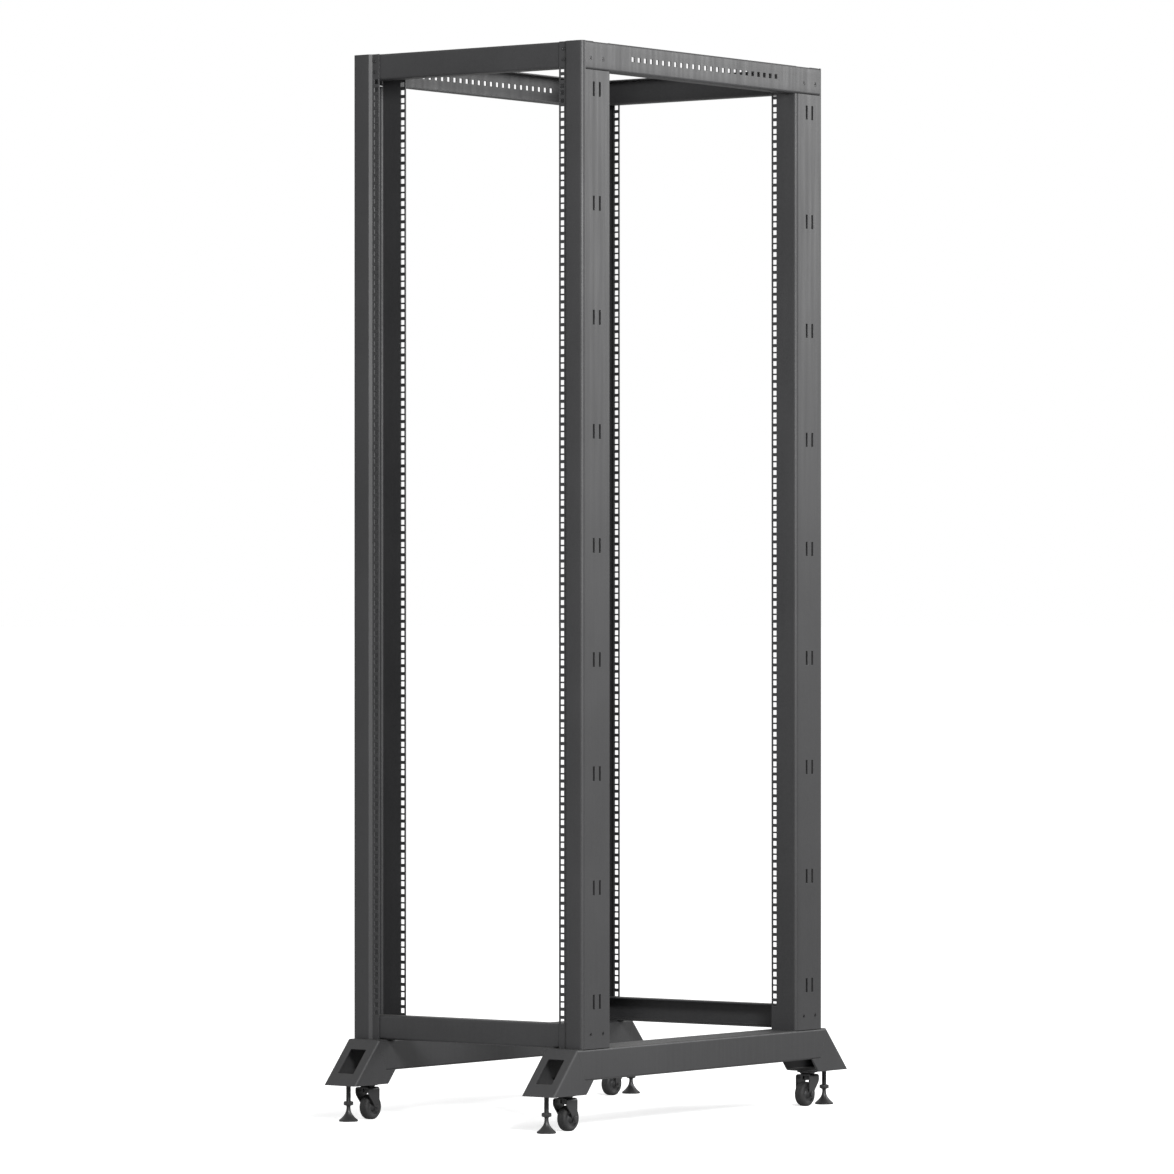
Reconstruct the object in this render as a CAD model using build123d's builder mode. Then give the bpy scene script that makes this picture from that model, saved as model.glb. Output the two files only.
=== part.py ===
from build123d import *
import math
import os

os.makedirs("parts", exist_ok=True)

# Four post open frame rack, 42 rack units high.
# Z = 0 is the floor, the front faces -Y, and X = Y = 0 is the middle of the footprint.

# Rack unit grid of the mounting strips
unit = 44.45
units = 42
hole_offset = 15.875
hole_side = 9.5
hole_columns = 465.1
strip_opening = 450

# Posts
rack_width = 574
post_front = 408
post_depth = 93
post_sheet = 2.5
post_bend = 8
strip_step = 6
strip_flat = 16
post_bottom = 160
post_top = 2120
web_slot_height = 28.5
web_slot_width = 6.5
web_slot_gap = 19.75
web_slot_rows = 9

# Beams
beam_sheet = 2.5
beam_bend = 5
beam_flange = 30
side_beam_height = 56
side_beam_top = 2122
side_beam_front = 398
beam_slot_width = 7
beam_slot_height = 13
beam_slot_pitch = 20
beam_slots = 26
beam_slot_below_top = 27
cross_beam_height = 48
top_cross_beam = 2118

# Base runners and feet
runner_width = 80
runner_bottom = 94
runner_sheet = 3
runner_lip = 15
foot_bottom = 72
foot_tip = 501
foot_top = 423
foot_back = 391
foot_heel = 369
foot_bend = 5
window_width = 39
window_length = 61
window_below_top = 25

# Casters
caster_y = 411
caster_trail = 9
wheel_radius = 25
wheel_width = 20
tyre_edge = 4
hub_radius = 8
axle_radius = 4
running_gap = 0.1
fork_clearance = 5
fork_sheet = 2.5
crown_top = 65.2
crown_thickness = 4
race_gap = 0.3
swivel_plate = 3
swivel_plate_radius = 21
race_radius = 15

# Levelling feet
leveller_y = 471
stem_radius = 5
stem_top = 92
pad_radius = 19
pad_rim = 3
pad_height = 25
nut_flats = 17
nut_height = 8
lock_nut_bottom = 32

outer_x = rack_width / 2
inner_x = outer_x - runner_width
foot_x = outer_x - runner_width / 2
rack_middle = (post_bottom + post_top) / 2
strip_y = post_front - strip_step
flange_edge = strip_opening / 2

corners = {
    "front_right": (),
    "front_left": (Plane.YZ,),
    "rear_right": (Plane.XZ,),
    "rear_left": (Plane.YZ, Plane.XZ),
}


def write_at_corners(master, name):
    """Writes the front right piece and its mirror images at the other corners."""
    for corner, planes in corners.items():
        with BuildPart() as piece:
            add(master.part)
            for plane in planes:
                mirror(about=plane, mode=Mode.REPLACE)
        piece.part.label = f"{corner}_{name}"
        export_step(piece.part, f"parts/{corner}_{name}.step")


# Post: a channel with a stepped mounting strip on its outer flange
with BuildPart() as post:
    with BuildSketch(Plane.XY.offset(post_bottom)):
        with BuildLine():
            FilletPolyline(
                (flange_edge, -strip_y),
                (flange_edge + strip_flat, -strip_y),
                (flange_edge + strip_flat + strip_step, -post_front),
                (outer_x, -post_front),
                (outer_x, -post_front + post_depth),
                (flange_edge, -post_front + post_depth),
                radius=[post_sheet + 0.5, post_sheet + 0.5, post_bend, post_bend],
            )
            offset(amount=post_sheet, side=Side.LEFT)
        make_face()
    extrude(amount=post_top - post_bottom)
    with BuildSketch(Plane.XZ.offset(strip_y)):
        with Locations(
            (hole_columns / 2, rack_middle - hole_offset),
            (hole_columns / 2, rack_middle),
            (hole_columns / 2, rack_middle + hole_offset),
        ):
            with GridLocations(unit, unit, 1, units):
                Rectangle(hole_side, hole_side)
    extrude(amount=2 * post_sheet, both=True, mode=Mode.SUBTRACT)
    with BuildSketch(Plane.YZ.offset(outer_x)):
        with Locations((-post_front + post_depth / 2, rack_middle)):
            with GridLocations(web_slot_gap, 5 * unit, 2, web_slot_rows):
                Rectangle(web_slot_width, web_slot_height)
    extrude(amount=2 * post_sheet, both=True, mode=Mode.SUBTRACT)
    with BuildSketch(Plane.YZ.offset(flange_edge - 1)):
        with Locations((-side_beam_front, side_beam_top - side_beam_height)):
            Rectangle(post_depth, 2 * side_beam_height, align=(Align.MIN, Align.MIN))
    extrude(amount=runner_width, mode=Mode.SUBTRACT)
write_at_corners(post, "post")

# Side top beam: a channel flush with the posts' webs, open inwards, with a row of slots
with BuildPart() as side_beam:
    with BuildSketch(Plane.XZ.offset(-side_beam_front)):
        with BuildLine():
            FilletPolyline(
                (outer_x - beam_flange, side_beam_top - side_beam_height),
                (outer_x, side_beam_top - side_beam_height),
                (outer_x, side_beam_top),
                (outer_x - beam_flange, side_beam_top),
                radius=beam_bend,
            )
            offset(amount=beam_sheet, side=Side.LEFT)
        make_face()
    extrude(amount=2 * side_beam_front)
    with BuildSketch(Plane.YZ.offset(outer_x)):
        with Locations((0, side_beam_top - beam_slot_below_top)):
            with GridLocations(beam_slot_pitch, beam_slot_height, beam_slots, 1):
                Rectangle(beam_slot_width, beam_slot_height)
    extrude(amount=2 * beam_sheet, both=True, mode=Mode.SUBTRACT)
side_beam.part.label = "top_right_beam"
export_step(side_beam.part, "parts/top_right_beam.step")

with BuildPart() as left_side_beam:
    mirror(side_beam.part, about=Plane.YZ)
left_side_beam.part.label = "top_left_beam"
export_step(left_side_beam.part, "parts/top_left_beam.step")

# Cross beams: channels behind the mounting strips, open towards the middle of the rack
cross_face = strip_y - post_sheet
top_beam_half = outer_x - beam_flange - 0.5
with BuildPart() as top_front_beam:
    with BuildSketch(Plane.YZ.offset(-top_beam_half)):
        with BuildLine():
            FilletPolyline(
                (-cross_face + beam_flange, top_cross_beam - cross_beam_height),
                (-cross_face, top_cross_beam - cross_beam_height),
                (-cross_face, top_cross_beam),
                (-cross_face + beam_flange, top_cross_beam),
                radius=beam_bend,
            )
            offset(amount=beam_sheet, side=Side.RIGHT)
        make_face()
    extrude(amount=2 * top_beam_half)
top_front_beam.part.label = "top_front_beam"
export_step(top_front_beam.part, "parts/top_front_beam.step")

with BuildPart() as top_rear_beam:
    mirror(top_front_beam.part, about=Plane.XZ)
top_rear_beam.part.label = "top_rear_beam"
export_step(top_rear_beam.part, "parts/top_rear_beam.step")

bottom_beam_half = outer_x - post_sheet
with BuildPart() as bottom_front_beam:
    with BuildSketch(Plane.YZ.offset(-bottom_beam_half)):
        with BuildLine():
            FilletPolyline(
                (-cross_face + beam_flange, post_bottom),
                (-cross_face, post_bottom),
                (-cross_face, post_bottom + cross_beam_height),
                (-cross_face + beam_flange, post_bottom + cross_beam_height),
                radius=beam_bend,
            )
            offset(amount=beam_sheet, side=Side.RIGHT)
        make_face()
    extrude(amount=2 * bottom_beam_half)
bottom_front_beam.part.label = "bottom_front_beam"
export_step(bottom_front_beam.part, "parts/bottom_front_beam.step")

with BuildPart() as bottom_rear_beam:
    mirror(bottom_front_beam.part, about=Plane.XZ)
bottom_rear_beam.part.label = "bottom_rear_beam"
export_step(bottom_rear_beam.part, "parts/bottom_rear_beam.step")

# Base runner: a lipped channel, open below, whose ends slope to meet the feet
joint_slope = (foot_top - foot_back) / (post_bottom - foot_bottom)
runner_end = foot_back + joint_slope * (runner_bottom - foot_bottom)
with BuildPart() as runner:
    with BuildSketch(Plane.XZ.offset(-foot_top)):
        with BuildLine():
            FilletPolyline(
                (inner_x + runner_lip, runner_bottom),
                (inner_x, runner_bottom),
                (inner_x, post_bottom),
                (outer_x, post_bottom),
                (outer_x, runner_bottom),
                (outer_x - runner_lip, runner_bottom),
                radius=foot_bend,
            )
            offset(amount=runner_sheet, side=Side.RIGHT)
        make_face()
    extrude(amount=2 * foot_top)
    with BuildSketch(Plane.YZ.offset(inner_x)):
        with BuildLine():
            Polyline(
                (-foot_top, post_bottom),
                (foot_top, post_bottom),
                (runner_end, runner_bottom),
                (-runner_end, runner_bottom),
                close=True,
            )
        make_face()
    extrude(amount=runner_width, mode=Mode.INTERSECT)
runner.part.label = "right_base_runner"
export_step(runner.part, "parts/right_base_runner.step")

with BuildPart() as left_runner:
    mirror(runner.part, about=Plane.YZ)
left_runner.part.label = "left_base_runner"
export_step(left_runner.part, "parts/left_base_runner.step")

# Foot bracket: a folded hood with a window in its sloping front
slope_length = math.hypot(foot_tip - foot_top, post_bottom - foot_bottom)
slope_plane = Plane(
    origin=(foot_x, -foot_top, post_bottom),
    x_dir=(1, 0, 0),
    z_dir=(0, -(post_bottom - foot_bottom), foot_tip - foot_top),
)
heel_length = math.hypot(foot_back - foot_heel, runner_bottom - foot_bottom)
heel_plane = Plane(
    origin=(foot_x, -foot_back, foot_bottom),
    x_dir=(1, 0, 0),
    z_dir=(0, runner_bottom - foot_bottom, -(foot_back - foot_heel)),
)
with BuildPart() as foot:
    with BuildSketch(Plane.YZ.offset(inner_x)):
        with BuildLine():
            Polyline(
                (-foot_top, post_bottom),
                (-foot_tip, foot_bottom),
                (-foot_back, foot_bottom),
                (-foot_heel, runner_bottom),
                (-runner_end, runner_bottom),
                close=True,
            )
        make_face()
    extrude(amount=runner_width)
    slope_face = foot.faces().sort_by(Axis.Y)[0]
    fillet(slope_face.edges().filter_by(Axis.X, reverse=True), radius=foot_bend)
    rear_faces = [f for f in foot.faces() if f.normal_at().Y > 0.1 or f.normal_at().Z > 0.99]
    offset(amount=-runner_sheet, openings=rear_faces)
    with BuildSketch(slope_plane):
        with Locations((0, -window_below_top)):
            Rectangle(window_width, window_length, align=(Align.CENTER, Align.MAX))
    extrude(amount=2 * runner_sheet, both=True, mode=Mode.SUBTRACT)
    with BuildSketch(heel_plane):
        with Locations((-runner_width / 2, 0)):
            Rectangle(runner_lip, heel_length, align=(Align.MIN, Align.MIN))
        with Locations((runner_width / 2, 0)):
            Rectangle(runner_lip, heel_length, align=(Align.MAX, Align.MIN))
    extrude(amount=-runner_sheet)
    with BuildSketch(Plane.XY.offset(foot_bottom + runner_sheet)):
        with Locations((foot_x, -leveller_y)):
            RegularPolygon(nut_flats / 2, 6, major_radius=False)
    extrude(amount=nut_height)
    with BuildSketch(Plane.XY.offset(foot_bottom)):
        with Locations((foot_x, -leveller_y)):
            Circle(stem_radius + running_gap)
    extrude(amount=runner_sheet + nut_height, mode=Mode.SUBTRACT)
write_at_corners(foot, "foot_bracket")

# Caster swivel plate: the fixed top plate with its race and kingpin
kingpin_head = crown_top - crown_thickness - race_gap
with BuildPart() as swivel:
    with BuildSketch(Plane.XZ.offset(caster_y)):
        with BuildLine():
            Polyline(
                (foot_x, foot_bottom),
                (foot_x + swivel_plate_radius, foot_bottom),
                (foot_x + swivel_plate_radius, foot_bottom - swivel_plate),
                (foot_x + race_radius, foot_bottom - swivel_plate),
                (foot_x + race_radius - 2, crown_top + race_gap),
                (foot_x + axle_radius, crown_top + race_gap),
                (foot_x + axle_radius, kingpin_head),
                (foot_x + 2 * axle_radius - 1, kingpin_head),
                (foot_x + axle_radius, kingpin_head - 3),
                (foot_x, kingpin_head - 3),
                close=True,
            )
        make_face()
    revolve(axis=Axis((foot_x, -caster_y, 0), (0, 0, 1)))
write_at_corners(swivel, "caster_plate")

# Caster fork: a crown under the race, two legs and the riveted axle
wheel_y = caster_y - caster_trail
leg_inside = wheel_width / 2 + fork_clearance
leg_outside = leg_inside + fork_sheet
crown_half = leg_outside
with BuildPart() as fork:
    with BuildSketch(Plane.YZ.offset(foot_x - leg_outside)):
        with BuildLine():
            Polyline(
                (-caster_y - crown_half, crown_top),
                (-caster_y + crown_half, crown_top),
                (-caster_y + crown_half, crown_top - 2 * crown_thickness),
                (-wheel_y + hub_radius, wheel_radius),
                (-wheel_y + hub_radius / 2, wheel_radius - hub_radius),
                (-wheel_y - hub_radius / 2, wheel_radius - hub_radius),
                (-wheel_y - hub_radius, wheel_radius),
                (-caster_y - crown_half, crown_top - 2 * crown_thickness),
                close=True,
            )
        make_face()
    extrude(amount=2 * leg_outside)
    with BuildSketch(Plane.XZ.offset(caster_y)):
        with Locations((foot_x, 0)):
            Rectangle(2 * leg_inside, crown_top - crown_thickness, align=(Align.CENTER, Align.MIN))
    extrude(amount=2 * crown_half, both=True, mode=Mode.SUBTRACT)
    with BuildSketch(Plane.XY.offset(crown_top - crown_thickness)):
        with Locations((foot_x, -caster_y)):
            Circle(axle_radius + running_gap)
    extrude(amount=crown_thickness, mode=Mode.SUBTRACT)
    with BuildSketch(Plane.YZ.offset(foot_x - leg_outside - 1)):
        with Locations((-wheel_y, wheel_radius)):
            Circle(axle_radius)
    extrude(amount=2 * leg_outside + 2)
write_at_corners(fork, "caster_fork")

# Caster wheel: tyre and hub, turned about the axle
with BuildPart() as wheel:
    with BuildSketch(Plane.XY.offset(wheel_radius)):
        with BuildLine():
            Polyline(
                (foot_x + leg_inside - 1, -wheel_y + axle_radius + running_gap),
                (foot_x + leg_inside - 1, -wheel_y + hub_radius),
                (foot_x + wheel_width / 2 - 3, -wheel_y + hub_radius + 2),
                (foot_x + wheel_width / 2, -wheel_y + wheel_radius - 7),
                (foot_x + wheel_width / 2, -wheel_y + wheel_radius - tyre_edge),
                (foot_x + wheel_width / 2 - tyre_edge, -wheel_y + wheel_radius),
                (foot_x - wheel_width / 2 + tyre_edge, -wheel_y + wheel_radius),
                (foot_x - wheel_width / 2, -wheel_y + wheel_radius - tyre_edge),
                (foot_x - wheel_width / 2, -wheel_y + wheel_radius - 7),
                (foot_x - wheel_width / 2 + 3, -wheel_y + hub_radius + 2),
                (foot_x - leg_inside + 1, -wheel_y + hub_radius),
                (foot_x - leg_inside + 1, -wheel_y + axle_radius + running_gap),
                close=True,
            )
        make_face()
    revolve(axis=Axis((foot_x, -wheel_y, wheel_radius), (1, 0, 0)))
write_at_corners(wheel, "caster_wheel")

# Levelling foot: a flared pad on a threaded stem
with BuildPart() as leveller:
    with BuildSketch(Plane.XZ.offset(leveller_y)):
        with BuildLine():
            Polyline(
                (foot_x, 0),
                (foot_x + pad_radius, 0),
                (foot_x + pad_radius, pad_rim),
                (foot_x + 0.5 * pad_radius, 0.5 * pad_height),
                (foot_x + stem_radius + 1, pad_height),
                (foot_x + stem_radius, pad_height),
                (foot_x + stem_radius, stem_top - 1),
                (foot_x + stem_radius - 1, stem_top),
                (foot_x, stem_top),
                close=True,
            )
        make_face()
    revolve(axis=Axis((foot_x, -leveller_y, 0), (0, 0, 1)))
write_at_corners(leveller, "levelling_foot")

# Lock nut on the stem
with BuildPart() as lock_nut:
    with BuildSketch(Plane.XY.offset(lock_nut_bottom)):
        with Locations((foot_x, -leveller_y)):
            RegularPolygon(nut_flats / 2, 6, major_radius=False)
            Circle(stem_radius + running_gap, mode=Mode.SUBTRACT)
    extrude(amount=nut_height)
write_at_corners(lock_nut, "lock_nut")
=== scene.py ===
import math

import bmesh
import bpy
from mathutils import Matrix, Vector


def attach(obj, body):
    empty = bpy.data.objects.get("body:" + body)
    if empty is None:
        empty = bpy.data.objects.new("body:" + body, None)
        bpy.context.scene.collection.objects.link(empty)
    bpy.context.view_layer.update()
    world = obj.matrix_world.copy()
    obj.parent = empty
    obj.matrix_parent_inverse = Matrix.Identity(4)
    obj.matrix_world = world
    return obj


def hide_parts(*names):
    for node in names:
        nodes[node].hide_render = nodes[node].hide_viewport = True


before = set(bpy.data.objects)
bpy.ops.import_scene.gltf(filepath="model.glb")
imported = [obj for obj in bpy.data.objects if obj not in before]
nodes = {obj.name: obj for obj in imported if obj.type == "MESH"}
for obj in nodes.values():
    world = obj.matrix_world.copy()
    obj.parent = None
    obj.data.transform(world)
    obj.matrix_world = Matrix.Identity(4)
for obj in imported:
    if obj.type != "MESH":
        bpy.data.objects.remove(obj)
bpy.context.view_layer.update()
scene = bpy.context.scene

# Sizes in millimetres. The solids have most of them; the photo gave the rest
UNIT = 44.45
GRID_MIDDLE = 1140.0
OUTER_X, POST_FRONT, STRIP_Y, POST_BACK = 287.0, 408.0, 402.0, 315.0
POST_BOTTOM, POST_TOP = 160.0, 2122.0
SHEET, FLANGE = 2.5, 30.0
SIDE_TOP, SIDE_BOTTOM, SIDE_FRONT = 2122.0, 2066.0, 398.0
FOOT_X, CASTER_Y, WHEEL_Y, LEVELLER_Y = 247.0, 411.0, 402.0, 471.0
AXLE_Z = 25.0
CORNERS = {
    "front_right": (1, -1),
    "front_left": (-1, -1),
    "rear_right": (1, 1),
    "rear_left": (-1, 1),
}


# ---------------------------------------------------------------- materials
def link(tree, a, b):
    tree.links.new(a, b)


def add_node(tree, kind, **values):
    node = tree.nodes.new(kind)
    for key, value in values.items():
        setattr(node, key, value)
    return node


def ramp(tree, source, low, high, out_low, out_high):
    node = add_node(tree, "ShaderNodeMapRange", clamp=True)
    node.inputs["From Min"].default_value = low
    node.inputs["From Max"].default_value = high
    node.inputs["To Min"].default_value = out_low
    node.inputs["To Max"].default_value = out_high
    link(tree, source, node.inputs["Value"])
    return node.outputs["Result"]


def noise(tree, coords, scale, detail=3.0, roughness=0.55):
    node = add_node(tree, "ShaderNodeTexNoise")
    node.inputs["Scale"].default_value = scale
    node.inputs["Detail"].default_value = detail
    node.inputs["Roughness"].default_value = roughness
    link(tree, coords, node.inputs["Vector"])
    return node.outputs["Fac"]


def mix_colour(tree, factor, a, b):
    node = add_node(tree, "ShaderNodeMix", data_type="RGBA")
    link(tree, factor, node.inputs[0])
    for socket, value in ((node.inputs[6], a), (node.inputs[7], b)):
        if isinstance(value, tuple):
            socket.default_value = (*value, 1.0)
        else:
            link(tree, value, socket)
    return node.outputs[2]


def math_node(tree, operation, a, b):
    node = add_node(tree, "ShaderNodeMath", operation=operation, use_clamp=True)
    for socket, value in ((node.inputs[0], a), (node.inputs[1], b)):
        if isinstance(value, (int, float)):
            socket.default_value = value
        else:
            link(tree, value, socket)
    return node.outputs[0]


def coated_steel(name, dark, light, rough, grain, grain_height, edge, edge_width):
    """Black coating: fine grain, broad uneven sheen, edges lightened partly as rubbed wear and partly as a painted
    highlight, and a little dust on top faces.
    """
    material = bpy.data.materials.new(name)
    material.use_nodes = True
    tree = material.node_tree
    shader = tree.nodes["Principled BSDF"]
    coords = add_node(tree, "ShaderNodeTexCoord").outputs["Object"]
    fine = noise(tree, coords, grain, 4.0, 0.6)
    broad = noise(tree, coords, 5.0, 4.0, 0.55)
    streak_scale = add_node(tree, "ShaderNodeMapping")
    streak_scale.inputs["Scale"].default_value = (90.0, 90.0, 4.0)
    link(tree, coords, streak_scale.inputs["Vector"])
    streak = noise(tree, streak_scale.outputs["Vector"], 1.0, 3.0)

    bevel = add_node(tree, "ShaderNodeBevel", samples=4)
    bevel.inputs["Radius"].default_value = edge_width
    true_normal = add_node(tree, "ShaderNodeNewGeometry").outputs["Normal"]
    dot = add_node(tree, "ShaderNodeVectorMath", operation="DOT_PRODUCT")
    link(tree, bevel.outputs["Normal"], dot.inputs[0])
    link(tree, true_normal, dot.inputs[1])
    rim = ramp(tree, dot.outputs["Value"], 0.995, 0.8, 0.0, 1.0)
    patchy = ramp(tree, noise(tree, coords, 60.0, 5.0, 0.7), 0.42, 0.62, 0.25, 1.0)
    worn_and_highlit_edges = math_node(tree, "MULTIPLY", rim, patchy)

    up = add_node(tree, "ShaderNodeSeparateXYZ")
    link(tree, true_normal, up.inputs[0])
    dust = math_node(tree, "MULTIPLY", ramp(tree, up.outputs["Z"], 0.6, 1.0, 0.0, 0.35),
                     ramp(tree, broad, 0.4, 0.65, 0.2, 1.0))

    body = mix_colour(tree, ramp(tree, fine, 0.3, 0.7, 0.0, 1.0), dark, light)
    uneven = math_node(tree, "MULTIPLY", ramp(tree, broad, 0.35, 0.7, 0.0, 1.0), 0.35)
    body = mix_colour(tree, uneven, body, tuple(1.35 * c for c in light))
    # Rims lightened towards the edge colour: partly rubbed wear, partly a painted highlight along the edges
    body = mix_colour(tree, math_node(tree, "MULTIPLY", worn_and_highlit_edges, 0.8), body, edge)
    body = mix_colour(tree, dust, body, (0.09, 0.088, 0.084))
    link(tree, body, shader.inputs["Base Color"])

    roughness = ramp(tree, streak, 0.3, 0.7, rough - 0.05, rough + 0.05)
    grainy = math_node(tree, "MULTIPLY", ramp(tree, fine, 0.25, 0.75, 0.0, 1.0), 0.12)
    roughness = math_node(tree, "ADD", roughness, grainy)
    roughness = math_node(tree, "SUBTRACT", roughness, math_node(tree, "MULTIPLY", worn_and_highlit_edges, 0.12))
    link(tree, roughness, shader.inputs["Roughness"])

    bump = add_node(tree, "ShaderNodeBump")
    bump.inputs["Strength"].default_value = 0.35
    bump.inputs["Distance"].default_value = grain_height
    link(tree, fine, bump.inputs["Height"])
    link(tree, bevel.outputs["Normal"], bump.inputs["Normal"])
    link(tree, bump.outputs["Normal"], shader.inputs["Normal"])
    return material


def tread_rubber(name):
    """Matt moulded tread with a bloom of dust where it rolls."""
    material = bpy.data.materials.new(name)
    material.use_nodes = True
    tree = material.node_tree
    shader = tree.nodes["Principled BSDF"]
    coords = add_node(tree, "ShaderNodeTexCoord").outputs["Object"]
    fine = noise(tree, coords, 700.0, 4.0, 0.65)
    broad = noise(tree, coords, 45.0, 4.0, 0.6)
    body = mix_colour(tree, ramp(tree, fine, 0.3, 0.7, 0.0, 1.0), (0.009, 0.009, 0.0095),
                      (0.017, 0.017, 0.0175))
    body = mix_colour(tree, ramp(tree, broad, 0.5, 0.75, 0.0, 0.35), body, (0.045, 0.043, 0.04))
    link(tree, body, shader.inputs["Base Color"])
    link(tree, ramp(tree, broad, 0.3, 0.7, 0.55, 0.8), shader.inputs["Roughness"])
    bump = add_node(tree, "ShaderNodeBump")
    bump.inputs["Strength"].default_value = 0.4
    bump.inputs["Distance"].default_value = 0.0002
    link(tree, fine, bump.inputs["Height"])
    link(tree, bump.outputs["Normal"], shader.inputs["Normal"])
    return material


# The edge colours lighten the rims: partly rubbed wear, partly a painted highlight
powder = coated_steel("powder_coat", dark=(0.014, 0.014, 0.0148), light=(0.026, 0.026, 0.0272), rough=0.46,
                      grain=520.0, grain_height=0.00025, edge=(0.075, 0.075, 0.078), edge_width=0.0007)
plated = coated_steel("plated_steel", dark=(0.007, 0.007, 0.0074), light=(0.015, 0.015, 0.0156), rough=0.36,
                      grain=900.0, grain_height=0.00008, edge=(0.09, 0.09, 0.092), edge_width=0.0004)
screw_steel = coated_steel("screw_steel", dark=(0.008, 0.008, 0.0085), light=(0.016, 0.016, 0.017), rough=0.3,
                           grain=1100.0, grain_height=0.00006, edge=(0.12, 0.12, 0.122), edge_width=0.0003)
tread = tread_rubber("tread")
moulded = coated_steel("moulded_core", dark=(0.02, 0.02, 0.0205), light=(0.035, 0.035, 0.036), rough=0.5,
                       grain=420.0, grain_height=0.00012, edge=(0.06, 0.06, 0.06), edge_width=0.0005)
MATERIALS = {
    "black_powder_coat": powder,
    "black_plated_steel": plated,
    "black_tread": tread,
}


# ---------------------------------------------------------------- pieces
SHARP = math.radians(32)


def finish_piece(name, bm, body, slot, replaced=(), material=None):
    """Object in metres from a mesh in millimetres. It rides on a body and takes the place of the
    replaced nodes."""
    bmesh.ops.recalc_face_normals(bm, faces=bm.faces)
    for edge in bm.edges:
        edge.smooth = len(edge.link_faces) == 2 and edge.calc_face_angle(0.0) < SHARP
    for face in bm.faces:
        face.smooth = True
    mesh = bpy.data.meshes.new(name)
    bm.to_mesh(mesh)
    bm.free()
    mesh.transform(Matrix.Scale(0.001, 4))
    mesh.materials.append(material or MATERIALS[slot])
    obj = bpy.data.objects.new(name, mesh)
    scene.collection.objects.link(obj)
    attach(obj, body)
    if replaced:
        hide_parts(*replaced)
    return obj


def left_of(d):
    return Vector((-d.y, d.x))


def section(points, radii, sheet, cuts, steps):
    """Pairs of points on the two faces of a folded sheet, which lies left of the path.
    cuts holds, for each straight run, extra places on it as distances from its first corner."""
    points = [Vector(p) for p in points]
    runs = [(b - a) for a, b in zip(points, points[1:])]
    dirs = [r.normalized() for r in runs]
    turns = [math.atan2(a.x * b.y - a.y * b.x, a.dot(b)) for a, b in zip(dirs, dirs[1:])]
    pairs = []
    for i, (start, run, d) in enumerate(zip(points, runs, dirs)):
        n = left_of(d)
        low = radii[i - 1] * math.tan(abs(turns[i - 1]) / 2) if i else 0.0
        high = run.length - (radii[i] * math.tan(abs(turns[i]) / 2) if i < len(turns) else 0.0)
        places = [low] + sorted(c for c in cuts.get(i, ()) if low < c < high) + [high]
        pairs += [(start + d * s, start + d * s + n * sheet) for s in places]
        if i < len(turns):
            sign = 1 if turns[i] > 0 else -1
            centre = start + d * high + n * radii[i] * sign
            for k in range(1, steps[i]):
                angle = turns[i] * k / steps[i]
                turned = Vector((n.x * math.cos(angle) - n.y * math.sin(angle),
                                 n.x * math.sin(angle) + n.y * math.cos(angle)))
                face = centre - turned * radii[i] * sign
                pairs.append((face, face + turned * sheet))
    return pairs


def folded(pairs, lengths, place, absent, slots):
    """Mesh of a folded sheet. A cell lies between two pairs and two lengths. absent(cell middle on the
    outer face, length) leaves it out, and slots(same) gives the outline of an opening inside it."""
    bm = bmesh.new()
    count, rows = len(pairs) - 1, len(lengths) - 1
    corner = [[None] * (rows + 1) for _ in range(count + 1)]

    def vertices(i, j):
        if corner[i][j] is None:
            corner[i][j] = tuple(bm.verts.new(place(p.x, p.y, lengths[j])) for p in pairs[i])
        return corner[i][j]

    gone = [[absent((pairs[i][0] + pairs[i + 1][0]) / 2, (lengths[j] + lengths[j + 1]) / 2)
             for j in range(rows)] for i in range(count)]

    def empty(i, j):
        return not (0 <= i < count and 0 <= j < rows) or gone[i][j]

    for i in range(count):
        for j in range(rows):
            if gone[i][j]:
                continue
            ring = [vertices(i, j), vertices(i + 1, j), vertices(i + 1, j + 1), vertices(i, j + 1)]
            middle = (pairs[i][0] + pairs[i + 1][0]) / 2
            outline = slots(middle, (lengths[j] + lengths[j + 1]) / 2)
            if outline:
                span = (pairs[i + 1][0] - pairs[i][0]).length
                tall = lengths[j + 1] - lengths[j]
                hole = []
                for s, w in outline:
                    u = 0.5 + s / span
                    z = lengths[j] + tall / 2 + w
                    hole.append(tuple(
                        bm.verts.new(place(*(pairs[i][k].lerp(pairs[i + 1][k], u)), z)) for k in (0, 1)))
                quarter = len(hole) // 4
                for k in (0, 1):
                    for q in range(4):
                        near = ring[(2, 3, 0, 1)[q]][k]
                        for m in range(quarter):
                            a, b = q * quarter + m, (q * quarter + m + 1) % len(hole)
                            if m < quarter - 1:
                                bm.faces.new((near, hole[a][k], hole[b][k]))
                            else:
                                after = ring[(3, 0, 1, 2)[q]][k]
                                bm.faces.new((near, hole[a][k], hole[b][k], after))
                for a in range(len(hole)):
                    b = (a + 1) % len(hole)
                    bm.faces.new((hole[a][0], hole[b][0], hole[b][1], hole[a][1]))
            else:
                bm.faces.new([r[0] for r in ring])
                bm.faces.new([r[1] for r in reversed(ring)])
            for (di, dj), (a, b) in (((0, -1), (0, 1)), ((1, 0), (1, 2)), ((0, 1), (2, 3)), ((-1, 0), (3, 0))):
                if empty(i + di, j + dj):
                    bm.faces.new((ring[a][0], ring[b][0], ring[b][1], ring[a][1]))
    return bm


def rounded_slot(width, height, radius, steps=3):
    """Outline of an upright opening, from its right side round to the left, a quarter at a time."""
    points = []
    for q, (cx, cy) in enumerate(((1, 1), (-1, 1), (-1, -1), (1, -1))):
        for k in range(steps + 1):
            angle = math.pi / 2 * (q + k / steps)
            points.append((cx * (width / 2 - radius) + radius * math.cos(angle),
                           cy * (height / 2 - radius) + radius * math.sin(angle)))
    return points


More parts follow.
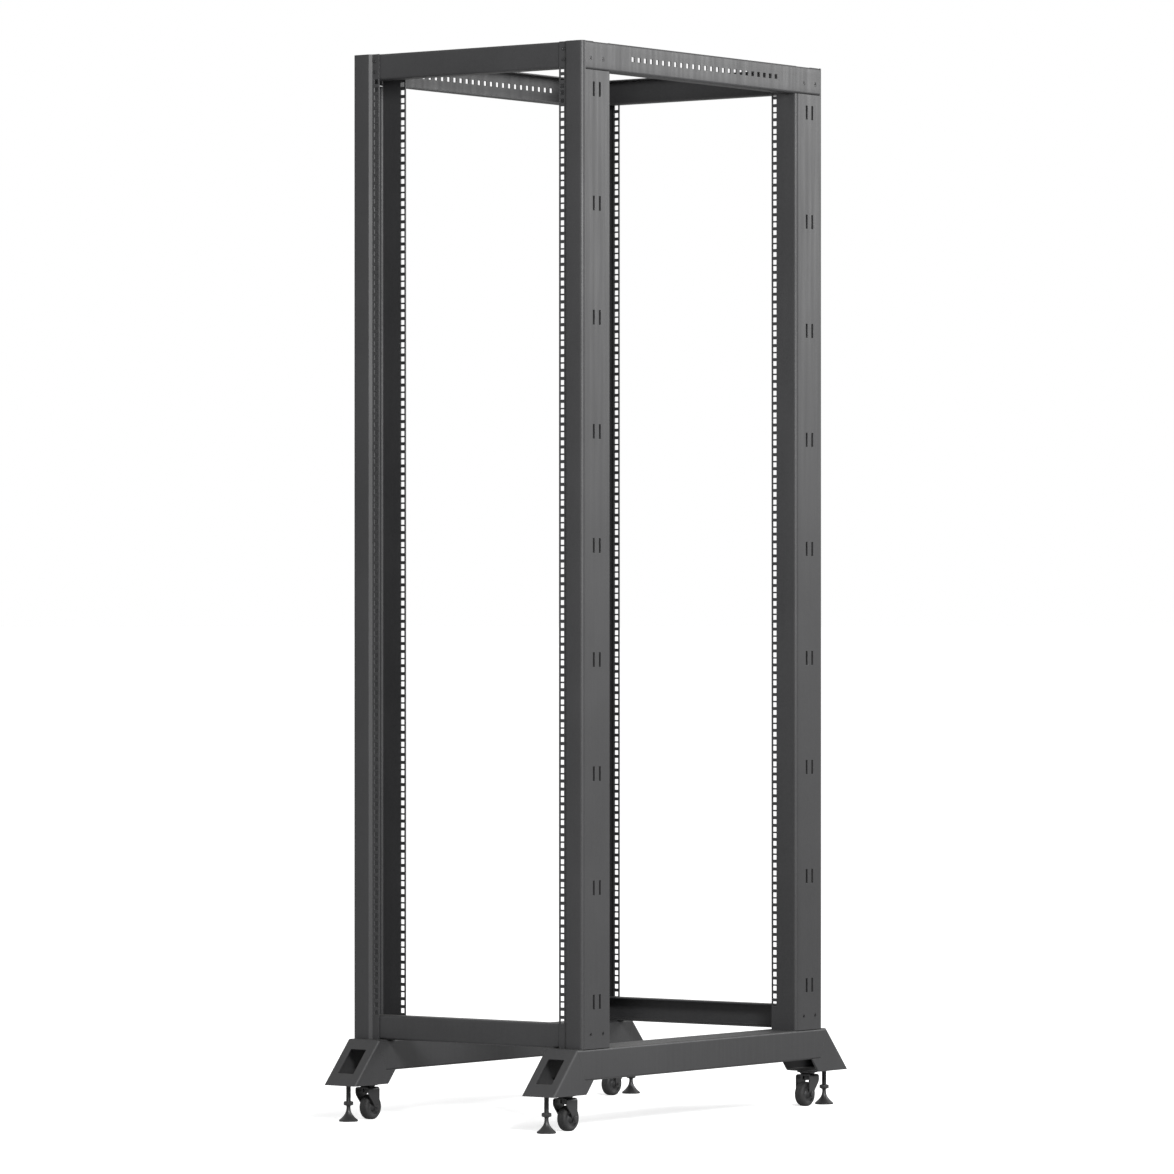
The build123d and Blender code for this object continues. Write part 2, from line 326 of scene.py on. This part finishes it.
# Posts: the stepped strip, the web with its slot pairs and the inner flange, all square holes cut.
# A cell is taken as part of an opening when its middle is further inside it than MARGIN.
MARGIN = 0.05
WEB_FACE = OUTER_X - 0.1
TAB_X = OUTER_X - SHEET - 0.1
UNITS, HOLE_SPACING = 42, 15.875
HOLE_X, HALF_HOLE = 232.55, 4.75
WEB_ROWS, WEB_SLOT_OFFSET, HALF_SLOT_Y, HALF_SLOT_Z = 9, 9.875, 3.25, 14.25
STRIP_EDGE, STEP_START, STEP_END = 225.0, 241.0, 247.0
hole_rows = [GRID_MIDDLE + UNIT * (k - (UNITS - 1) / 2) + d
             for k in range(UNITS) for d in (-HOLE_SPACING, 0.0, HOLE_SPACING)]
web_rows = [GRID_MIDDLE + 5 * UNIT * (k - 4) for k in range(WEB_ROWS)]
web_middle = -(POST_FRONT + POST_BACK) / 2
web_columns = [web_middle - WEB_SLOT_OFFSET, web_middle + WEB_SLOT_OFFSET]
SCREW_OFFSET, SCREW_CELL_Y, SCREW_CELL_Z = 20, 5.5, 6
SCREW_Y = [web_middle - SCREW_OFFSET, web_middle + SCREW_OFFSET]
FOOT_SCREW_Z, BEAM_SCREW_Z = 188.0, 2088.0
post_pairs = section(
    [(STRIP_EDGE, -STRIP_Y), (STEP_START, -STRIP_Y), (STEP_END, -POST_FRONT), (OUTER_X, -POST_FRONT),
     (OUTER_X, -POST_BACK), (STRIP_EDGE, -POST_BACK)],
    [3, 3, 8, 8], SHEET,
    {0: [HOLE_X - HALF_HOLE - STRIP_EDGE, HOLE_X + HALF_HOLE - STRIP_EDGE],
     3: [POST_FRONT - SIDE_FRONT]
        + [POST_FRONT + y + d for y in web_columns for d in (-HALF_SLOT_Y, HALF_SLOT_Y)]
        + [POST_FRONT + y + d for y in SCREW_Y for d in (-SCREW_CELL_Y, SCREW_CELL_Y)],
     4: [OUTER_X - HOLE_X - HALF_HOLE, OUTER_X - HOLE_X + HALF_HOLE]},
    [3, 3, 7, 7])
post_lengths = sorted(
    [POST_BOTTOM, FOOT_SCREW_Z - SCREW_CELL_Z, FOOT_SCREW_Z + SCREW_CELL_Z, SIDE_BOTTOM, POST_TOP]
    + [z + d for z in hole_rows for d in (-HALF_HOLE, HALF_HOLE)]
    + [z + d for z in web_rows for d in (-HALF_SLOT_Z, HALF_SLOT_Z)])
ROUND_HOLE = rounded_slot(8.0, 8.0, 3.999, 5)


def near(value, places, reach):
    return any(abs(value - place) < reach for place in places)


def post_absent(p, z):
    """True behind the side beams' tabs, in the pairs of web slots and in the square holes."""
    if z > SIDE_BOTTOM and p.y > -SIDE_FRONT and p.x > TAB_X:
        return True
    if p.x > WEB_FACE:
        return near(p.y, web_columns, HALF_SLOT_Y - MARGIN) and near(z, web_rows, HALF_SLOT_Z - MARGIN)
    if abs(p.x - HOLE_X) > HALF_HOLE - MARGIN or -STRIP_Y + 2 < p.y < -POST_BACK - 2:
        return False
    return near(z, hole_rows, HALF_HOLE - MARGIN)


def post_holes(p, z):
    on_screw = p.x > WEB_FACE and near(p.y, SCREW_Y, 1) and abs(z - FOOT_SCREW_Z) < 1
    return ROUND_HOLE if on_screw else None


for corner, (sx, sy) in CORNERS.items():
    bm = folded(post_pairs, post_lengths, lambda x, y, z: (sx * x, -sy * y, z), post_absent, post_holes)
    finish_piece(corner + "_post_dressed", bm, "frame", "black_powder_coat", [corner + "_post"])

# Side top beams: channels between the posts whose webs run on as tabs, with square holes and screw holes
BEAM_HOLE = rounded_slot(9.5, 9.5, 0.8)
BEAM_PITCH, BEAM_COUNT, BEAM_CELL = 20.25, 25, 7
ROW_LOW, ROW_HIGH = 16.0, 42.0
ROW_MIDDLE = SIDE_BOTTOM + (ROW_LOW + ROW_HIGH) / 2
BEAM_SCREW = [(s + BEAM_SCREW_Z - ROW_MIDDLE, w) for s, w in ROUND_HOLE]
beam_squares = [BEAM_PITCH * (k - BEAM_COUNT // 2) for k in range(BEAM_COUNT)]
beam_screws = [y * side for y in SCREW_Y for side in (-1, 1)]
side_pairs = section([(OUTER_X - FLANGE, SIDE_BOTTOM), (OUTER_X, SIDE_BOTTOM), (OUTER_X, SIDE_TOP),
                      (OUTER_X - FLANGE, SIDE_TOP)],
                     [5, 5], SHEET, {1: [ROW_LOW, ROW_HIGH]}, [5, 5])
side_lengths = sorted([-SIDE_FRONT, SIDE_FRONT, -POST_BACK, POST_BACK]
                      + [y + d for y in beam_squares + beam_screws for d in (-BEAM_CELL, BEAM_CELL)])


def beam_absent(p, y):
    return abs(y) > POST_BACK and p.x < TAB_X


def beam_holes(p, y):
    if p.x < WEB_FACE or abs(p.y - ROW_MIDDLE) > 1:
        return None
    if near(y, beam_screws, 1):
        return BEAM_SCREW
    return BEAM_HOLE if near(y, beam_squares, 1) else None


for side, sx in (("left", -1), ("right", 1)):
    bm = folded(side_pairs, side_lengths, lambda x, z, y: (sx * x, y, z), beam_absent, beam_holes)
    finish_piece("top_" + side + "_beam_dressed", bm, "frame", "black_powder_coat", ["top_" + side + "_beam"])

# Cross beams: channels behind the strips, open towards the middle of the rack
CROSS_Y, CROSS_END, END_CELL = STRIP_Y - SHEET, OUTER_X - SHEET - 0.2, 20
for level, bottom, top in (("top", 2071.0, SIDE_TOP), ("bottom", POST_BOTTOM, 208.0)):
    cross_pairs = section(
        [(-CROSS_Y + FLANGE, top), (-CROSS_Y, top), (-CROSS_Y, bottom), (-CROSS_Y + FLANGE, bottom)],
        [5, 5], SHEET, {}, [6, 6])
    for end, sy in (("front", -1), ("rear", 1)):
        bm = folded(cross_pairs, [-CROSS_END, -CROSS_END + END_CELL, CROSS_END - END_CELL, CROSS_END],
                    lambda y, z, x: (x, -sy * y, z), lambda p, x: False, lambda p, x: None)
        name = level + "_" + end + "_beam"
        finish_piece(name + "_dressed", bm, "frame", "black_powder_coat", [name])


# Turned pieces
def lathe(profile, steps, place, shape=None):
    """Closed solid turned from a profile of (radius, height), whose ends lie on the axis or meet.
    shape(radius, height, angle) can change a radius on the way round."""
    bm = bmesh.new()
    closed = profile[0][0] > 1e-6 and profile[-1][0] > 1e-6
    rings = []
    for r, h in profile:
        if r < 1e-6:
            rings.append([bm.verts.new(place(0.0, 0.0, h))])
            continue
        ring = []
        for k in range(steps):
            a = 2 * math.pi * k / steps
            rr = shape(r, h, a) if shape else r
            ring.append(bm.verts.new(place(rr * math.cos(a), rr * math.sin(a), h)))
        rings.append(ring)
    spans = list(zip(rings, rings[1:])) + ([(rings[-1], rings[0])] if closed else [])
    for low, high in spans:
        for k in range(steps):
            m = (k + 1) % steps
            if len(low) == 1:
                bm.faces.new((low[0], high[k], high[m]))
            elif len(high) == 1:
                bm.faces.new((low[k], high[0], low[m]))
            else:
                bm.faces.new((low[k], high[k], high[m], low[m]))
    return bm


def join(into, other):
    """Adds the faces of another mesh to the first."""
    copies = {}
    for vertex in other.verts:
        copies[vertex] = into.verts.new(vertex.co)
    for face in other.faces:
        into.faces.new([copies[v] for v in face.verts])
    other.free()


def hexagon(flats):
    """Radius of a hexagon of that width over flats, at an angle."""
    def radius(a):
        return flats / 2 / math.cos((a + math.pi / 6) % (math.pi / 3) - math.pi / 6)
    return radius


def socketed(flats):
    """Shape for lathe that turns the radii at half the width over flats into a hexagon socket."""
    socket = hexagon(flats)
    return lambda r, h, a: socket(a) if r in (flats / 2 - 0.01, flats / 2) else r


# Countersunk socket screws, set just below the face of the web, and button heads on the strips
SUNK, SUNK_FLATS, BUTTON_FLATS = 0.5, 4.0, 3.4
STRIP_SCREW_X, STRIP_SCREW_Z = 236.0, (2087.0, 2108.0)
countersunk_profile = [(0, 2.2), (SUNK_FLATS / 2 - 0.01, 2.0), (SUNK_FLATS / 2, 0.0), (3.1, 0.0), (3.7, 0.5),
                       (3.7, 4.0), (0, 4.2)]
button_profile = [(0, 0.7), (BUTTON_FLATS / 2 - 0.01, 0.8), (BUTTON_FLATS / 2, 1.8), (2.4, 1.75), (3.4, 1.2),
                  (3.9, 0.3), (3.9, 0.0), (0, 0.0)]
for corner, (sx, sy) in CORNERS.items():
    bm = bmesh.new()
    for y in SCREW_Y:
        for z in (FOOT_SCREW_Z, BEAM_SCREW_Z):
            def on_web(a, b, h):
                return (sx * (OUTER_X - SUNK - h), -sy * (y + a), z + b)
            join(bm, lathe(countersunk_profile, 24, on_web, socketed(SUNK_FLATS)))
    for z in STRIP_SCREW_Z:
        def on_strip(a, b, h):
            return (sx * (STRIP_SCREW_X + a), sy * (STRIP_Y + h), z + b)
        join(bm, lathe(button_profile, 24, on_strip, socketed(BUTTON_FLATS)))
    finish_piece(corner + "_screws", bm, "frame", "black_plated_steel", (), screw_steel)


# Casters and levelling feet
def strap(stations, place):
    """A bent strap. Each station is (outer x, z), (inner x, z), low y, high y."""
    bm = bmesh.new()
    rings = [[bm.verts.new(place(p[0], y, p[1])) for p, y in ((a, lo), (a, hi), (b, hi), (b, lo))]
             for a, b, lo, hi in stations]
    for low, high in zip(rings, rings[1:]):
        for k in range(4):
            m = (k + 1) % 4
            bm.faces.new((low[k], high[k], high[m], low[m]))
    bm.faces.new(rings[0])
    bm.faces.new(rings[-1][::-1])
    return bm


LEG_OUTER, LEG_INNER, LEG_END, LEG_CROWN, LEG_TAPER = 17.5, 15.0, 8.0, 17.0, 30.0
BEND_Z, BEND_OUTER, BEND_INNER, BEND_STEPS = 60.0, 5.2, 2.7, 6
BEND_X = LEG_OUTER - BEND_OUTER


def leg_reach(z):
    """Lowest and highest y of a fork leg at a height: round at the axle, wider towards the crown."""
    if z < AXLE_Z:
        half = math.sqrt(max(LEG_END ** 2 - (AXLE_Z - z) ** 2, 0.0))
        return -WHEEL_Y - half, -WHEEL_Y + half
    t = min((z - AXLE_Z) / LEG_TAPER, 1.0)
    t = t * t * (3 - 2 * t)
    return ((-WHEEL_Y - LEG_END) * (1 - t) + (-CASTER_Y - LEG_CROWN) * t,
            (-WHEEL_Y + LEG_END) * (1 - t) + (-CASTER_Y + LEG_CROWN) * t)


leg_levels = [17.05, 17.6, 18.6, 20, 22, 25, 29, 33, 37, 41, 45, 49, 53, 57, BEND_Z]
fork_stations = [((-LEG_OUTER, z), (-LEG_INNER, z), *leg_reach(z)) for z in leg_levels]
for k in range(1, BEND_STEPS + 1):
    a = math.pi / 2 * k / BEND_STEPS
    fork_stations.append((*((-BEND_X - r * math.cos(a), BEND_Z + r * math.sin(a)) for r in (BEND_OUTER, BEND_INNER)),
                          *leg_reach(BEND_Z)))
fork_stations += [((-x[0], x[1]), (-y[0], y[1]), lo, hi) for x, y, lo, hi in reversed(fork_stations)]

core_profile = [(4.15, -14), (7.4, -14), (8, -13.4), (8.6, -9), (10, -7), (11.5, -6.5), (15.8, -6.5), (17, -7.6),
                (17.6, -9.2), (18, -9.6)]
core_profile += [(r, -h) for r, h in reversed(core_profile)]
tyre_profile = [(17.2, -9.4), (18.2, -10), (20.6, -10), (22.6, -9.4), (24, -8), (24.8, -6), (25, -3.4), (25, -0.5),
                (24.7, -0.25)]
tyre_profile += [(r, -h) for r, h in reversed(tyre_profile)]
pad_profile = [(0, 0), (18.2, 0), (19, 0.8), (19, 2.6), (18.4, 3.2)]
pad_profile += [(4.2 + 14 * ((26 - z) / 22.4) ** 2.1, z) for z in (4, 5.5, 7.5, 10, 12.5, 15, 18, 21, 24)]
pad_profile += [(4.0, 26), (4.0, 30), (4.9, 31)]
THREAD, THREAD_DEPTH, PITCH, THREAD_START, THREAD_LENGTH = 4.95, 0.55, 1.5, 31.5, 58.5
RINGS_A_TURN = 5
thread_rings = [(THREAD, THREAD_START + PITCH * k / RINGS_A_TURN)
                for k in range(int(THREAD_LENGTH / PITCH * RINGS_A_TURN) + 1)]
pad_profile += thread_rings + [(4.2, 91.6), (3.9, 92), (0, 92)]
top_ring = thread_rings[-1][1]


def threaded(r, h, a):
    """Helical thread on the stem, running out at both of its ends."""
    if r != THREAD or not THREAD_START + 0.5 < h < top_ring - 0.5:
        return r
    phase = (h / PITCH - a / (2 * math.pi)) % 1.0
    return THREAD - THREAD_DEPTH * (1 - abs(2 * phase - 1))


def hexagonal(flats, corner_radius, chamfer):
    """Shape for lathe of a nut or head: its corners end at corner_radius, its other rings stay
    within chamfer times the hexagon."""
    outline = hexagon(flats)
    return lambda r, h, a: min(outline(a), corner_radius) if r == corner_radius else min(r, outline(a) * chamfer)


NUT_FLATS, NUT_CORNER = 17.0, 9.7
nut_profile = [(5.15, 32.6), (5.6, 32), (7.6, 32), (8.4, 32.45), (NUT_CORNER, 33), (NUT_CORNER, 39), (8.4, 39.55),
               (7.6, 40), (5.6, 40), (5.15, 39.4)]
KING_FLATS, KING_CORNER, KING_CHAMFER = 17.0, 9.6, 8.6
king_nut = hexagon(KING_FLATS)
plate_profile = [(0, 72), (20.4, 72), (21, 71.5), (21, 69.6), (20.4, 69), (16.2, 69), (15.6, 68.6), (15.2, 67.2),
                 (14, 66), (12.8, 65.5), (10.4, 65.5), (10, 66.2), (7, 66.2), (6.6, 65.5), (4, 65.5), (4, 62.5),
                 (KING_CHAMFER, 62.5), (KING_CORNER, 61.9), (KING_CORNER, 54.3), (KING_CHAMFER, 53.8), (4.6, 53.8),
                 (4.4, 52.8), (0, 52.4)]
HEAD_FLATS, HEAD_CORNER = 10.0, 5
head_profile = [(0, 17.5), (4.6, 17.5), (HEAD_CORNER, 17.9), (HEAD_CORNER, 19.6), (4.4, 20.2), (0, 20.2)]
axle_head = hexagon(HEAD_FLATS)
rivet_profile = [(0, -17.5), (5.6, -17.5), (5.6, -18.3), (3.4, -18.3), (3.2, -20), (0, -20.4)]
axle_profile = [(0, -17.4), (3.9, -17.4), (3.9, 17.4), (0, 17.4)]


def kingpin_nut(r, h, a):
    """Hexagon nut at the foot of the swivel plate, with chamfered rims."""
    if r == KING_CHAMFER:
        return min(r, king_nut(a) * 0.985)
    return min(king_nut(a), KING_CORNER) if r == KING_CORNER else r


for corner, (sx, sy) in CORNERS.items():
    def swivel_line(x, y, z):
        return (sx * (FOOT_X + x), -sy * (-CASTER_Y + y), z)

    def levelling_line(x, y, z):
        return (sx * (FOOT_X + x), -sy * (-LEVELLER_Y + y), z)

    def axle_line(a, b, h):
        return (sx * (FOOT_X + h), -sy * (-WHEEL_Y + a), AXLE_Z + b)

    def leg_place(x, y, z):
        return (sx * (FOOT_X + x), -sy * y, z)

    plate = lathe(plate_profile, 48, swivel_line, kingpin_nut)
    finish_piece(corner + "_caster_plate_dressed", plate, "frame", "black_plated_steel", [corner + "_caster_plate"])

    fork = strap(fork_stations, leg_place)
    join(fork, lathe(head_profile, 30, axle_line, lambda r, h, a: axle_head(a) if r == HEAD_CORNER else
                     min(r, axle_head(a) * 0.92)))
    join(fork, lathe(rivet_profile, 30, axle_line))
    join(fork, lathe(axle_profile, 24, axle_line))
    finish_piece(corner + "_fork_dressed", fork, corner + "_caster", "black_plated_steel", [corner + "_caster_fork"])

    core = lathe(core_profile, 56, axle_line)
    finish_piece(corner + "_wheel_core", core, corner + "_wheel", "black_tread", (), moulded)
    tyre = lathe(tyre_profile, 72, axle_line)
    finish_piece(corner + "_tyre", tyre, corner + "_wheel", "black_tread", [corner + "_caster_wheel"])

    pad = lathe(pad_profile, 32, levelling_line, threaded)
    finish_piece(corner + "_levelling_foot_dressed", pad, corner + "_leveller", "black_plated_steel",
                 [corner + "_levelling_foot"])
    nut = lathe(nut_profile, 48, levelling_line, hexagonal(NUT_FLATS, NUT_CORNER, 0.985))
    finish_piece(corner + "_lock_nut_dressed", nut, corner + "_leveller", "black_plated_steel",
                 [corner + "_lock_nut"])

# Feet and runners: the solids' own faces, without the brackets' hanging heel lips, and with the bottoms
# of the runners and the tops of the heels raised. A heel runs a little into its runner, so no light shows.
RUNNER_BOTTOM, RUNNER_LIFT, HEEL_OVERLAP, BOTTOM_PLATE = 94.0, 4.5, 1.2, 71.9
HEEL_BACK_SHIFT, HEEL_TIP_SHIFT, RUNNER_END_SHIFT = 2.0, -1.6, 1.64
EASE_WIDTH, EASE_ANGLE = 0.0005, math.radians(40)


def eased(obj):
    bevel = obj.modifiers.new("eased_edges", "BEVEL")
    bevel.width = EASE_WIDTH
    bevel.segments = 2
    bevel.limit_method = "ANGLE"
    bevel.angle_limit = EASE_ANGLE
    bevel.harden_normals = True


def dressed_copy(node, lowest, shift):
    """Piece made of the solid's faces in millimetres, cut level at lowest, with its points moved by shift."""
    bm = bmesh.new()
    bm.from_mesh(nodes[node].data)
    bmesh.ops.scale(bm, vec=(1000.0, 1000.0, 1000.0), verts=bm.verts)
    bmesh.ops.remove_doubles(bm, verts=bm.verts, dist=0.001)
    bmesh.ops.delete(bm, geom=[v for v in bm.verts if v.co.z < lowest], context="VERTS")
    bmesh.ops.holes_fill(bm, edges=[e for e in bm.edges if e.is_boundary], sides=0)
    bmesh.ops.dissolve_limit(bm, angle_limit=math.radians(0.3), verts=bm.verts, edges=bm.edges)
    for v in bm.verts:
        v.co.y, v.co.z = shift(v.co.y, v.co.z)
    eased(finish_piece(node + "_dressed", bm, "frame", "black_powder_coat", [node]))


def bracket_shift(y, z):
    if abs(z - RUNNER_BOTTOM) > 0.1:
        return y, z
    out = HEEL_BACK_SHIFT if abs(y) < 380 else HEEL_TIP_SHIFT
    return y + math.copysign(out, y), z + RUNNER_LIFT + HEEL_OVERLAP


def runner_shift(y, z):
    return (y + math.copysign(RUNNER_END_SHIFT, y), z + RUNNER_LIFT) if z < RUNNER_BOTTOM + 6 else (y, z)


for corner in CORNERS:
    dressed_copy(corner + "_foot_bracket", BOTTOM_PLATE, bracket_shift)
for side in ("left", "right"):
    dressed_copy(side + "_base_runner", 0.0, runner_shift)

# ---------------------------------------------------------------- floor, light and camera
# The floor and the backdrop are white to the camera and dimmer as lights
AMBIENT, FLOOR_GLOW, FLOOR_REACH = 0.69, 0.42, 900
FLOOR_AS_LIGHT, FLOOR_SEEN = (0.5, 0.5, 0.5), (0.93, 0.93, 0.93)
floor_mesh = bpy.data.meshes.new("floor")
floor_mesh.from_pydata([(x * FLOOR_REACH, y * FLOOR_REACH, 0) for x, y in ((-1, -1), (1, -1), (1, 1), (-1, 1))],
                       [], [(0, 1, 2, 3)])
floor = bpy.data.objects.new("floor", floor_mesh)
scene.collection.objects.link(floor)
pale = bpy.data.materials.new("pale_floor")
pale.use_nodes = True
pale_tree = pale.node_tree
pale_shader = pale_tree.nodes["Principled BSDF"]
pale_shader.inputs["Roughness"].default_value = 0.9
pale_shader.inputs["Emission Color"].default_value = (1, 1, 1, 1)
floor_seen = add_node(pale_tree, "ShaderNodeLightPath").outputs["Is Camera Ray"]
link(pale_tree, mix_colour(pale_tree, floor_seen, FLOOR_AS_LIGHT, FLOOR_SEEN), pale_shader.inputs["Base Color"])
link(pale_tree, ramp(pale_tree, floor_seen, 0.0, 1.0, 0.0, FLOOR_GLOW), pale_shader.inputs["Emission Strength"])
floor_mesh.materials.append(pale)

world_light = bpy.data.worlds.new("studio")
world_light.use_nodes = True
sky = world_light.node_tree
backdrop = sky.nodes["Background"]
backdrop.inputs["Color"].default_value = (1, 1, 1, 1)
seen = add_node(sky, "ShaderNodeLightPath").outputs["Is Camera Ray"]
link(sky, ramp(sky, seen, 0.0, 1.0, AMBIENT, 1.0), backdrop.inputs["Strength"])
scene.world = world_light


def softbox(name, place, target, size_x, size_y, power):
    light = bpy.data.lights.new(name, "AREA")
    light.shape = "RECTANGLE"
    light.size, light.size_y = size_x, size_y
    light.energy = power
    obj = bpy.data.objects.new(name, light)
    obj.location = place
    obj.rotation_euler = (Vector(target) - Vector(place)).to_track_quat("-Z", "Y").to_euler()
    scene.collection.objects.link(obj)


# One lights the bends that face the camera, the other the webs on the right
softbox("key_front", (3.3, -2.6, 2.5), (0.2, -0.3, 2.1), 0.9, 1.1, 240.0)
softbox("key_rear", (3.0, 3.6, 3.0), (0.0, 0.0, 1.7), 2.4, 2.4, 145.0)

scene.view_settings.view_transform = "Standard"

# The photo's camera, found from its hole columns: focal length and shift in its pixels
PHOTO_WIDTH, FOCAL, SHIFT, SENSOR = 1174, 6360, 35.0, 36.0
camera_data = bpy.data.cameras.new("camera")
camera_data.sensor_width = SENSOR
camera_data.lens = SENSOR * FOCAL / PHOTO_WIDTH
camera_data.shift_y = SHIFT / PHOTO_WIDTH
camera_data.clip_end = 2000.0
camera = bpy.data.objects.new("camera", camera_data)
camera.location = (7.715, -10.276, 0.991)
camera.rotation_euler = (math.radians(90), 0, math.radians(36.93))
scene.collection.objects.link(camera)
scene.camera = camera
